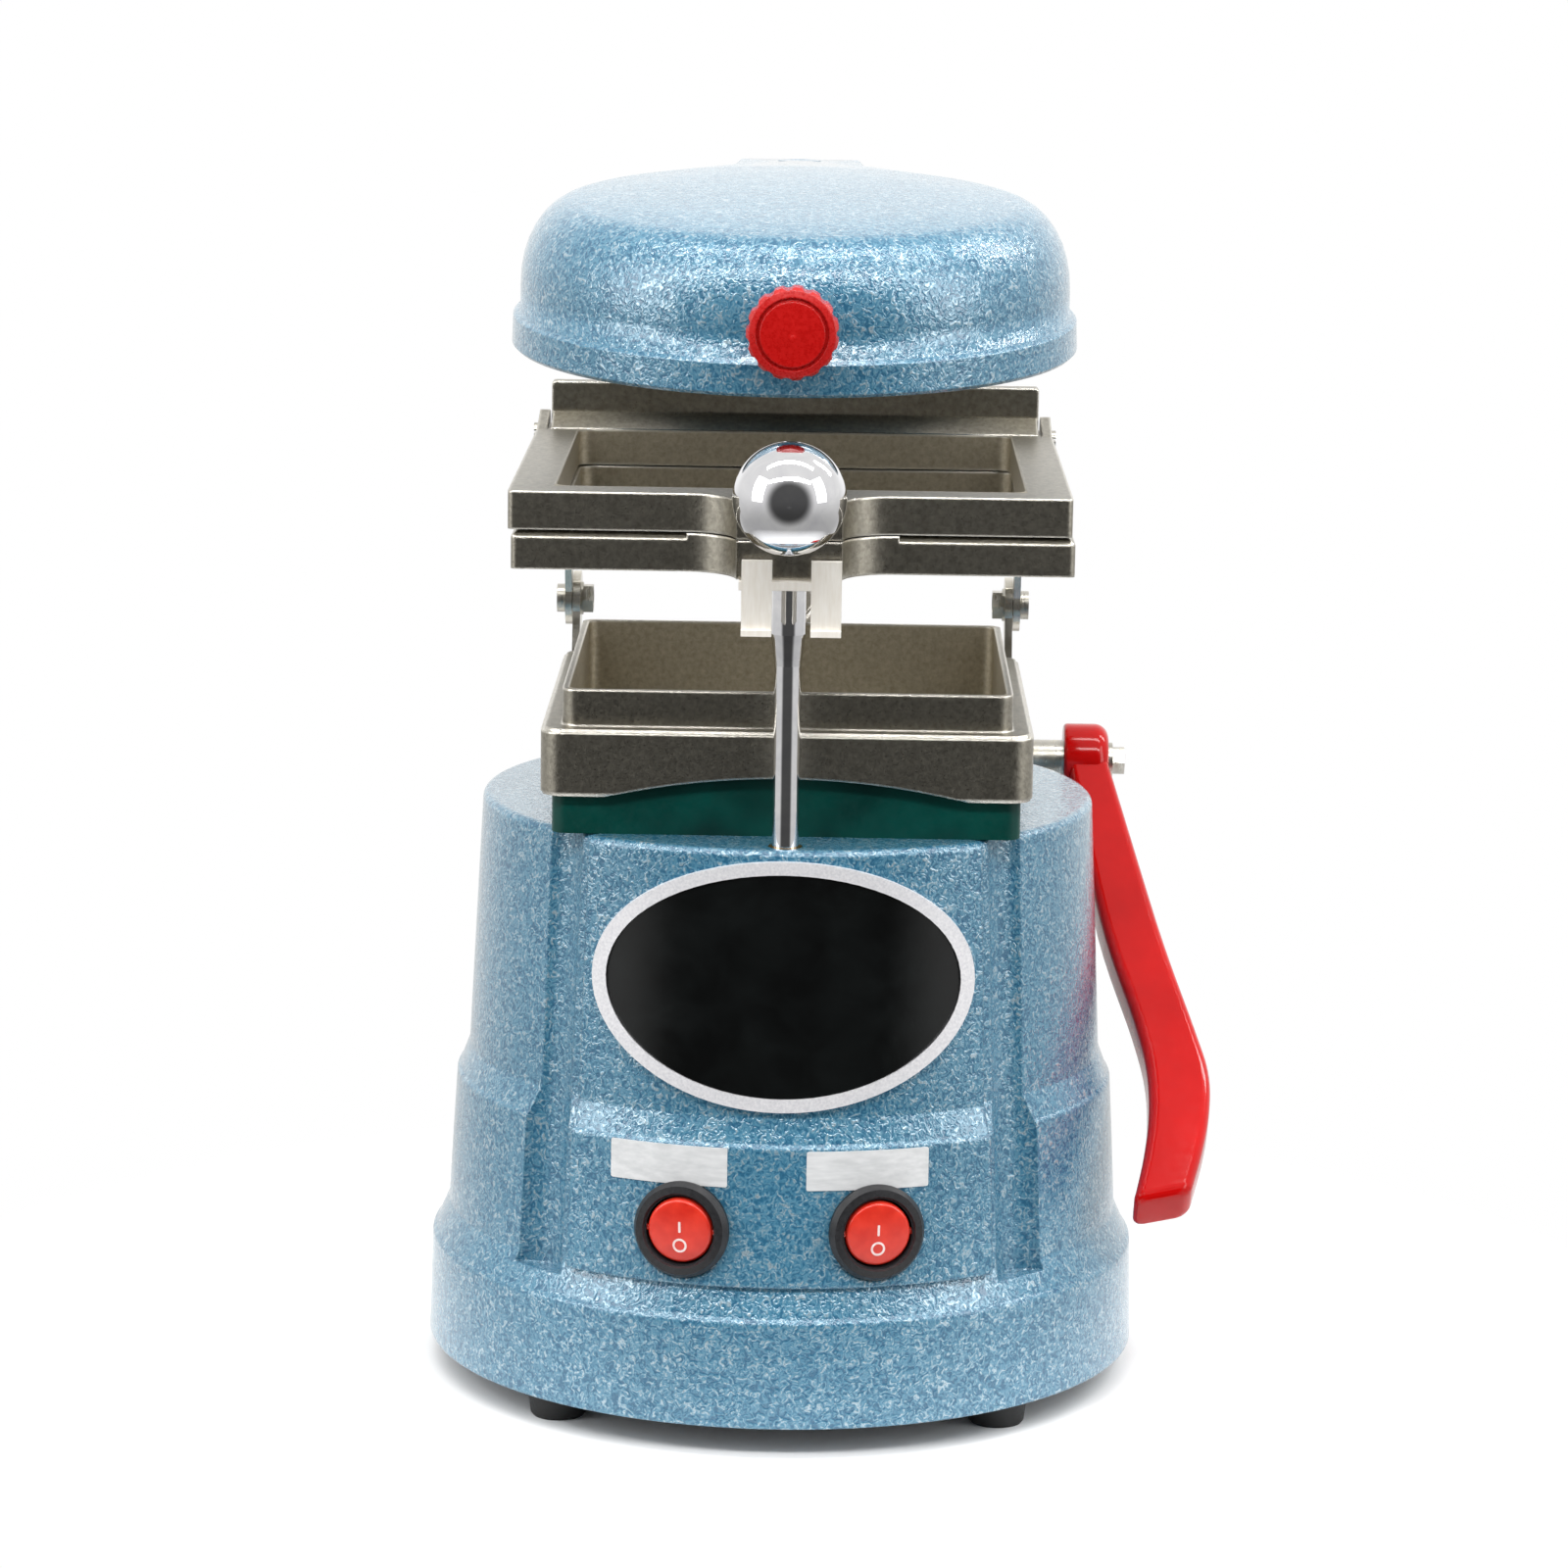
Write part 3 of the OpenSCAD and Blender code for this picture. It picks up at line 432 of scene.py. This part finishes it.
def label_foil():
    """Pale foil, brushed along X."""
    f = Finish("label_foil", srgb("D9DAD8"), metallic=0.1, rough=0.42)
    brushed = f.noise(700, 2.0, 0.6, 0.0, f.stretch(0.15, 1.0, 1.0))
    f.colour(f.ramp(brushed, (0.3, srgb("CDCFD0")), (0.7, srgb("E0E1E2"))))
    f.roughness(f.level(brushed, 0.3, 0.7, 0.3, 0.46))
    return f.mat


def mark_white():
    """White print of the switch marks."""
    f = Finish("mark_white", srgb("F0D9D6"), rough=0.45)
    f.colour(f.ramp(f.noise(900), (0.3, srgb("E8CBC7")), (0.7, srgb("F6E8E6"))))
    return f.mat


finishes = {
    "body_paint": hammer_paint(), "nickel": blasted_nickel(), "bright_nickel": bright_nickel(),
    "chrome": chrome_finish(), "steel": zinc_steel(), "dark_steel": heater_steel(),
    "bronze": bronze_finish(), "foot_rubber": foot_rubber(), "gasket_rubber": gasket_rubber(),
    "black_plastic": black_nylon(), "black_gloss": gloss_black(), "oval_silver": rim_silver(),
    "rocker_red": rocker_red(), "lever_red": lever_enamel(), "knob_red": knob_plastic(),
    "plate_paint": grey_paint(), "motor_alloy": cast_alloy(), "reflector": polished_pan(),
    "ceramic": white_ceramic(), "label_foil": label_foil(), "mark_white": mark_white(),
}

BOX_INSIDE = 0.0556      # half widths, in metres, within which a casting's inner walls stand
FRAME_INSIDE = 0.0592

slot_of = {part["node"]: part["material_slot"] for part in frame["record"]["subparts"]}
for name, node in nodes.items():
    if node.data.materials:
        for index in range(len(node.data.materials)):
            node.data.materials[index] = finishes[slot_of[name]]
    else:
        node.data.materials.append(finishes[slot_of[name]])
nodes["rod_bracket"].data.materials[0] = satin_plate()
nodes["forming_box"].data.materials[0] = blasted_nickel("box_nickel", inside=BOX_INSIDE)
frame_nickel = blasted_nickel("frame_nickel", inside=FRAME_INSIDE)
for name in ("lower_frame", "upper_frame"):
    nodes[name].data.materials[0] = frame_nickel


# Pieces added for the looks (foil plates, switch marks, neck plug) or put in the place of packed ones
# (rockers, side lever, head shell), drawn in millimetres

PANEL_MID = 12.5         # Y of the axis the front panel is turned about
PANEL_R = 99.6           # panel radius at PANEL_Z
PANEL_Z = 44.0
PANEL_TAPER = 2.1 / 35   # radius lost per mm of height
LABEL_THICK = 0.3
LABEL_CORNER = 0.5
LABEL_SINK = 0.1         # how deep a plate's back lies in the panel
SWITCH_X = 24.5
SWITCH_R = 98.9          # distance of the switches' seats from that axis
SWITCH_DEEP = 0.3        # how far behind the seats SWITCH_X is measured
SWITCH_Z = 58.2
SWITCH_LEAN = 2.9        # degrees the switches lean back


def new_object(name, data):
    """Object of the given data, in the scene."""
    item = bpy.data.objects.new(name, data)
    bpy.context.scene.collection.objects.link(item)
    return item


def add_piece(mesh, name, finish, body, smooth):
    """Object at the origin that rides on a body; edges sharper than smooth degrees stay sharp."""
    if smooth:
        mesh.shade_smooth()
        mesh.set_sharp_from_angle(angle=math.radians(smooth))
    mesh.materials.append(finish)
    piece = new_object(name, mesh)
    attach(piece, body)
    return piece


def piece_from(bm, name, finish, body, smooth=None):
    """Finished object made of a drawn mesh, in metres and with outward faces."""
    bmesh.ops.recalc_face_normals(bm, faces=bm.faces)
    bmesh.ops.scale(bm, vec=(MM, MM, MM), verts=bm.verts)
    mesh = bpy.data.meshes.new(name)
    bm.to_mesh(mesh)
    bm.free()
    return add_piece(mesh, name, finish, body, smooth)


def thin_plate(width, height, thick, corner, columns=1):
    """Flat plate in the XZ plane, front to -Y, with rounded corners."""
    bm = bmesh.new()
    bmesh.ops.create_grid(bm, x_segments=columns, y_segments=1, size=0.5)
    bmesh.ops.scale(bm, vec=(width, height, 1), verts=bm.verts)
    corners = [v for v in bm.verts if len(v.link_edges) == 2]
    bmesh.ops.bevel(bm, geom=corners, affect="VERTICES", offset=corner, segments=4, profile=0.5,
                    material=-1)
    bmesh.ops.rotate(bm, cent=(0, 0, 0), matrix=Matrix.Rotation(math.pi / 2, 3, "X"), verts=bm.verts)
    grown = bmesh.ops.extrude_face_region(bm, geom=list(bm.faces))
    front = [v for v in grown["geom"] if isinstance(v, bmesh.types.BMVert)]
    bmesh.ops.translate(bm, vec=(0, -thick, 0), verts=front)
    return bm


def label_plate(name, left, right, low, high):
    """Foil plate bent round the panel, between two places in X and two heights."""
    bm = thin_plate(right - left, high - low, LABEL_THICK, LABEL_CORNER, columns=24)
    for v in bm.verts:
        across, up, out = v.co.x + (left + right) / 2, v.co.z + (low + high) / 2, -v.co.y - LABEL_SINK
        radius = PANEL_R - (up - PANEL_Z) * PANEL_TAPER
        turn = math.asin(across / radius)
        v.co = (math.sin(turn) * (radius + out), PANEL_MID - math.cos(turn) * (radius + out), up)
    piece_from(bm, name, finishes["label_foil"], "base")


def switch_place(x):
    """Placement of a switch's seat in the panel, its front to -Y."""
    turn = Matrix.Rotation(math.asin(x / (SWITCH_R - SWITCH_DEEP)), 4, "Z")
    return (Matrix.Translation((0, PANEL_MID, SWITCH_Z)) @ turn @ Matrix.Translation((0, -SWITCH_R, 0))
            @ Matrix.Rotation(math.radians(-SWITCH_LEAN), 4, "X"))


FACE_OUT = 2.3           # how far the middle of a rocker's face stands before the seat
FACE_TILT = 8.0          # degrees its upper edge leans out
ROCKER_R = 8.5
ROCKER_BACK = 4          # how far its cut back lies behind the seat
ROCKER_RIM = 0.7         # rounding round its face
ROCKER_MID = 0.5         # how far its centre and its pins stand before the seat
PIN_R = 0.9
PIN_SPAN = 20


def face_place(x, up):
    """Placement on a rocker's face, a distance up from its middle."""
    tilt = Matrix.Rotation(math.radians(FACE_TILT), 4, "X")
    return switch_place(x) @ Matrix.Translation((0, -FACE_OUT, 0)) @ tilt @ Matrix.Translation((0, 0, up))


def switch_rocker(name, x, body):
    """Round rocker on two side pins: a ball cut to one flat leaning face with a rounded rim."""
    bm = bmesh.new()
    bmesh.ops.create_uvsphere(bm, u_segments=72, v_segments=12, radius=ROCKER_R)
    lean = math.radians(FACE_TILT)
    middle = Matrix.Translation((0, -ROCKER_MID, 0))
    upright = middle @ Matrix.Rotation(math.pi / 2 + lean, 4, "X")
    bmesh.ops.transform(bm, matrix=upright, verts=bm.verts)
    back = (0, ROCKER_BACK, 0), (0, 1, 0)
    face = (0, -FACE_OUT, 0), (0, -math.cos(lean), -math.sin(lean))
    for place, normal in (back, face):
        cut = bmesh.ops.bisect_plane(bm, geom=[*bm.verts, *bm.edges, *bm.faces], dist=0.0001,
                                     plane_co=place, plane_no=normal, clear_outer=True)
        rim = [item for item in cut["geom_cut"] if isinstance(item, bmesh.types.BMEdge)]
        bmesh.ops.contextual_create(bm, geom=rim)
    bmesh.ops.bevel(bm, geom=rim, affect="EDGES", offset=ROCKER_RIM, offset_type="OFFSET", segments=5,
                    profile=0.5, material=-1, clamp_overlap=True)
    bmesh.ops.create_cone(bm, cap_ends=True, segments=32, radius1=PIN_R, radius2=PIN_R, depth=PIN_SPAN,
                          matrix=middle @ Matrix.Rotation(math.pi / 2, 4, "Y"))
    bmesh.ops.transform(bm, matrix=switch_place(x), verts=bm.verts)
    piece = piece_from(bm, name + "_smooth", finishes["rocker_red"], body, smooth=40)
    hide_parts(name)


BAR_WIDTH, BAR_HEIGHT, BAR_CORNER = 0.6, 2.9, 0.2
RING_INNER, RING_OUTER = 1.3, 1.85
BAR_UP, RING_UP = 0.9, -4.0      # places of the marks, up from the middle of the face
MARK_SINK, MARK_OUT = 0.04, 0.08   # how deep a mark lies in the face and how far it stands out


def on_mark(name, x, body):
    """Upright bar printed on the upper half of a rocker."""
    bm = thin_plate(BAR_WIDTH, BAR_HEIGHT, MARK_SINK + MARK_OUT, BAR_CORNER)
    seat = face_place(x, BAR_UP) @ Matrix.Translation((0, MARK_SINK, 0))
    bmesh.ops.transform(bm, matrix=seat, verts=bm.verts)
    piece_from(bm, name, finishes["mark_white"], body)


def off_mark(name, x, body):
    """Ring printed on the lower half of a rocker."""
    bm = bmesh.new()
    outline = ((RING_INNER, MARK_SINK), (RING_OUTER, MARK_SINK), (RING_OUTER, -MARK_OUT),
               (RING_INNER, -MARK_OUT))
    points = [bm.verts.new((reach, place, 0)) for reach, place in outline]
    edges = [bm.edges.new(pair) for pair in zip(points, points[1:] + points[:1])]
    bmesh.ops.spin(bm, geom=points + edges, cent=(0, 0, 0), axis=(0, 1, 0), angle=2 * math.pi, steps=48,
                   use_merge=True)
    bmesh.ops.transform(bm, matrix=face_place(x, RING_UP), verts=bm.verts)
    piece_from(bm, name, finishes["mark_white"], body)


SHAFT = (84.0, 149.5)     # Y and Z of the cross shaft
LEVER_SLOPE = 36.5        # degrees the arm falls to the front
LEVER_DEEP = 13.0
LEVER_WIDE = 16.4         # width at which the arm's section gets its rounded corners
LEVER_EDGE = 3.0          # radius along the arm's edges and round its end
LEVER_PATH = (            # length along the arm, X, width, turn in degrees
    (6, 83.6, 11.5, 0), (64, 93.2, 16.4, 11), (100, 101.6, 16.8, 12), (116, 104.6, 16.6, 4),
    (130, 104.6, 16.2, -5), (144, 102.6, 16, -11), (160, 98.9, 15.6, -14),
)
HUB_X = 76.8              # inner face of the turned hub
HUB_R = 10.2
HUB_HIGH = 12.6
HUB_FLAT = 9.4            # radius of its flat inner face
HUB_INNER_ROUND = 1.0
HUB_OUTER_ROUND = 4.0
WELD = 0.001              # corners closer than this are joined


def between(t, before, low, high, after):
    """Smooth value between low and high that also heeds their neighbours."""
    return 0.5 * (2 * low + (high - before) * t + (2 * before - 5 * low + 4 * high - after) * t * t
                  + (3 * low - before - 3 * high + after) * t ** 3)


def lever_stations(steps=6, end_steps=6):
    """Length along the arm, X, width, turn and how far the section has drawn in, down to the rounded end."""
    path = (LEVER_PATH[0],) + LEVER_PATH + (LEVER_PATH[-1],)
    stations = [[between(k / steps, *(path[i + j][axis] for j in (-1, 0, 1, 2))) for axis in range(4)] + [0]
                for i in range(1, len(path) - 2) for k in range(steps)]
    while stations[-1][0] > LEVER_PATH[-1][0] - LEVER_EDGE:
        stations.pop()
    before, last = LEVER_PATH[-2:]
    for k in range(end_steps + 1):
        a = k * math.pi / (2 * end_steps)
        back = LEVER_EDGE * (1 - math.sin(a)) / (last[0] - before[0])
        stations.append([q + (p - q) * back for p, q in zip(before, last)] + [LEVER_EDGE * (1 - math.cos(a))])
    return stations


def lever_section(along, x, width, turn, drawn):
    """Placement of the arm's unit section at one station."""
    slope = Matrix.Translation((0, *SHAFT)) @ Matrix.Rotation(math.radians(LEVER_SLOPE), 4, "X")
    square = Matrix.Rotation(math.pi / 2, 4, "X") @ Matrix.Rotation(math.radians(-turn), 4, "Y")
    size = Matrix.Diagonal((width - 2 * drawn, LEVER_DEEP - 2 * drawn, 1, 1))
    return slope @ Matrix.Translation((x, -along, 0)) @ square @ size


def hub_arc(up, radius, angles):
    """Points of one of the hub's roundings, its centre a height up from the inner face."""
    return [(HUB_R - radius + radius * math.cos(a), up + radius * math.sin(a)) for a in angles]


def side_lever():
    """Bent grip arm with rounded edges, grown section by section, and the turned hub on the shaft."""
    bm = bmesh.new()
    bmesh.ops.create_grid(bm, x_segments=1, y_segments=1, size=0.5)
    bmesh.ops.scale(bm, vec=(LEVER_WIDE, LEVER_DEEP, 1), verts=bm.verts)
    bmesh.ops.bevel(bm, geom=list(bm.verts), affect="VERTICES", offset=LEVER_EDGE, segments=7, profile=0.5,
                    material=-1)
    bmesh.ops.scale(bm, vec=(1 / LEVER_WIDE, 1 / LEVER_DEEP, 1), verts=bm.verts)
    places = [lever_section(*station) for station in lever_stations()]
    bmesh.ops.transform(bm, matrix=places[0], verts=bm.verts)
    tip = list(bm.faces)
    for here, there in zip(places, places[1:]):
        grown = bmesh.ops.extrude_face_region(bm, geom=tip)["geom"]
        tip = [item for item in grown if isinstance(item, bmesh.types.BMFace)]
        moved = [item for item in grown if isinstance(item, bmesh.types.BMVert)]
        bmesh.ops.transform(bm, matrix=there @ here.inverted(), verts=moved)
    outline = [(0, 0), (HUB_FLAT, 0)]
    outline += hub_arc(HUB_INNER_ROUND, HUB_INNER_ROUND, (-1.0, -0.5, 0.0))
    outline += hub_arc(HUB_HIGH - HUB_OUTER_ROUND, HUB_OUTER_ROUND, [k * math.pi / 20 for k in range(11)])
    outline += [(0, HUB_HIGH)]
    points = [bm.verts.new((HUB_X + up, SHAFT[0], SHAFT[1] + out)) for out, up in outline]
    edges = [bm.edges.new(pair) for pair in zip(points, points[1:])]
    bmesh.ops.spin(bm, geom=points + edges, cent=(0, *SHAFT), axis=(1, 0, 0), angle=2 * math.pi, steps=64,
                   use_merge=True)
    bmesh.ops.remove_doubles(bm, verts=bm.verts, dist=WELD)
    piece = piece_from(bm, "side_lever_smooth", finishes["lever_red"], "lever", smooth=40)
    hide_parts("side_lever")


PACKED_WELD = 2e-6        # metres; corners of packed triangles closer than this are joined


def smooth_copy(node, name, finish, body, smooth):
    """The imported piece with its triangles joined, so that its rounds shade as one surface."""
    mesh = nodes[node].data.copy()
    mesh.name = name
    bm = bmesh.new()
    bm.from_mesh(mesh)
    bmesh.ops.remove_doubles(bm, verts=bm.verts, dist=PACKED_WELD)
    bm.to_mesh(mesh)
    bm.free()
    mesh.materials.clear()
    piece = add_piece(mesh, name, finish, body, smooth)
    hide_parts(node)


CAP_TOP = (0, 103, 314.86)
CAP_TILT = -2.06          # degrees, as the neck's top slopes
CAP_R = 5.97
CAP_DEEP = 1.2


def neck_cap():
    """Painted plug over the screw in the neck, flush with the sloping top."""
    bm = bmesh.new()
    seat = Matrix.Translation(CAP_TOP) @ Matrix.Rotation(math.radians(CAP_TILT), 4, "X")
    bmesh.ops.create_cone(bm, cap_ends=True, segments=64, radius1=CAP_R, radius2=CAP_R, depth=CAP_DEEP,
                          matrix=seat @ Matrix.Translation((0, 0, -CAP_DEEP / 2)))
    piece_from(bm, "neck_cap", hammer_paint("cap_paint", rounding=0), "head")


side_lever()
smooth_copy("head_shell", "head_shell_smooth", hammer_paint("head_paint", rounding=0.0005), "head",
            smooth=24)
neck_cap()
label_plate("label_left", -42.9, -13.3, 69.6, 79.6)
label_plate("label_right", 6.7, 37.5, 69.2, 79.2)
for side, x, body in (("vacuum", -SWITCH_X, "vacuum_switch"), ("heat", SWITCH_X, "heat_switch")):
    switch_rocker(side + "_rocker", x, body)
    on_mark(side + "_on_mark", x, body)
    off_mark(side + "_off_mark", x, body)


# Camera, lights and floor

CAMERA_AT = (8.3, -1333, 412.2)            # millimetres
YAW, PITCH, ROLL = -0.007, 0.189, 0.015    # radians
LENS, SENSOR = 117.47, 36
FLOOR_R = 0.6                              # metres, as all below
FLOOR_SOLID, FLOOR_GONE = 0.1, 0.26        # distances between which the sheet thins out


def aim_camera():
    """The viewer's place, turned by yaw, pitch and roll."""
    data = bpy.data.cameras.new("view")
    data.lens, data.sensor_width = LENS, SENSOR
    data.clip_start, data.clip_end = 0.05, 30
    camera = new_object("view", data)
    forward = Vector((math.sin(YAW) * math.cos(PITCH), math.cos(YAW) * math.cos(PITCH), -math.sin(PITCH)))
    right = Vector((math.cos(YAW), -math.sin(YAW), 0))
    down = forward.cross(right)
    across = math.cos(ROLL) * right - math.sin(ROLL) * down
    below = math.sin(ROLL) * right + math.cos(ROLL) * down
    turn = Matrix((across, -below, -forward)).transposed().to_4x4()
    camera.matrix_world = Matrix.Translation(Vector(CAMERA_AT) * MM) @ turn
    bpy.context.scene.camera = camera


def lamp(name, place, aim, size, power):
    """White oblong lamp that faces the point aim."""
    data = bpy.data.lights.new(name, "AREA")
    data.shape, data.size, data.size_y = "RECTANGLE", size[0], size[1]
    data.energy = power
    light = new_object(name, data)
    light.location = place
    light.rotation_euler = (Vector(aim) - Vector(place)).to_track_quat("-Z", "Y").to_euler()


def set_world():
    """Bright walls at the sides, above and behind, a dark one on the viewer's side; seen as plain white."""
    world = bpy.data.worlds.new("studio")
    bpy.context.scene.world = world
    world.use_nodes = True
    tree = world.node_tree
    tree.nodes.clear()

    def fade(axis, *ends):
        """Smooth change of the light with the direction along one axis."""
        return remap(tree, split.outputs[axis], *ends, interpolation_type="SMOOTHSTEP")

    out = new_node(tree, "ShaderNodeOutputWorld")
    lit = new_node(tree, "ShaderNodeBackground")
    seen = new_node(tree, "ShaderNodeBackground")
    swap = new_node(tree, "ShaderNodeMixShader")
    path = new_node(tree, "ShaderNodeLightPath")
    split = new_node(tree, "ShaderNodeSeparateXYZ")
    tree.links.new(new_node(tree, "ShaderNodeTexCoord").outputs["Generated"], split.inputs[0])
    walls = new_node(tree, "ShaderNodeMath", operation="ADD")
    tree.links.new(fade("Y", -0.84, -0.58, 0.09, 0.85), walls.inputs[0])   # dark on the viewer's side
    tree.links.new(fade("Y", 0.5, 0.95, 0.0, 0.3), walls.inputs[1])        # brightest behind
    level = new_node(tree, "ShaderNodeMath", operation="MULTIPLY")
    tree.links.new(walls.outputs["Value"], level.inputs[0])
    tree.links.new(fade("Z", -0.6, 0.2, 0.5, 1.0), level.inputs[1])        # dimmer below
    tree.links.new(level.outputs["Value"], lit.inputs["Strength"])
    lit.inputs["Color"].default_value = (1.0, 0.995, 0.985, 1)
    seen.inputs["Color"].default_value = (1, 1, 1, 1)
    seen.inputs["Strength"].default_value = 1.0
    tree.links.new(path.outputs["Is Camera Ray"], swap.inputs["Fac"])
    tree.links.new(lit.outputs["Background"], swap.inputs[1])
    tree.links.new(seen.outputs["Background"], swap.inputs[2])
    tree.links.new(swap.outputs["Shader"], out.inputs["Surface"])


def lay_floor():
    """A white sheet that thins out away from the feet, so only the shadow on it shows."""
    mesh = bpy.data.meshes.new("floor")
    bm = bmesh.new()
    bmesh.ops.create_circle(bm, cap_ends=True, segments=96, radius=FLOOR_R)
    bm.to_mesh(mesh)
    bm.free()
    floor = new_object("floor", mesh)
    f = Finish("floor_white", (0.93, 0.93, 0.93, 1), rough=0.8)
    f.shader.inputs["Specular IOR Level"].default_value = 0.0
    distance = f.add("ShaderNodeVectorMath", operation="LENGTH")
    f.join(f.where, distance.inputs[0])
    cover = f.level(distance.outputs["Value"], FLOOR_SOLID, FLOOR_GONE, 1.0, 0.0)
    f.join(cover, f.shader.inputs["Alpha"])
    mesh.materials.append(f.mat)


aim_camera()
set_world()
lay_floor()
lamp("above", (0.0, -0.17, 1.5), (0, 0, 0.15), (1.9, 0.16), 11)
lamp("front", (0.0, -1.05, 1.3), (0, 0, 0.2), (2.4, 0.18), 18)
lamp("edge", (1.28, 0.59, 1.4), (0.1, 0, 0.1), (0.22, 0.9), 8)
lamp("left", (-1.3, -0.6, 0.7), (0, 0, 0.16), (0.7, 1.1), 8)
lamp("right", (1.3, -0.6, 0.7), (0, 0, 0.16), (0.6, 1.1), 7)
bpy.context.scene.view_settings.view_transform = "Standard"
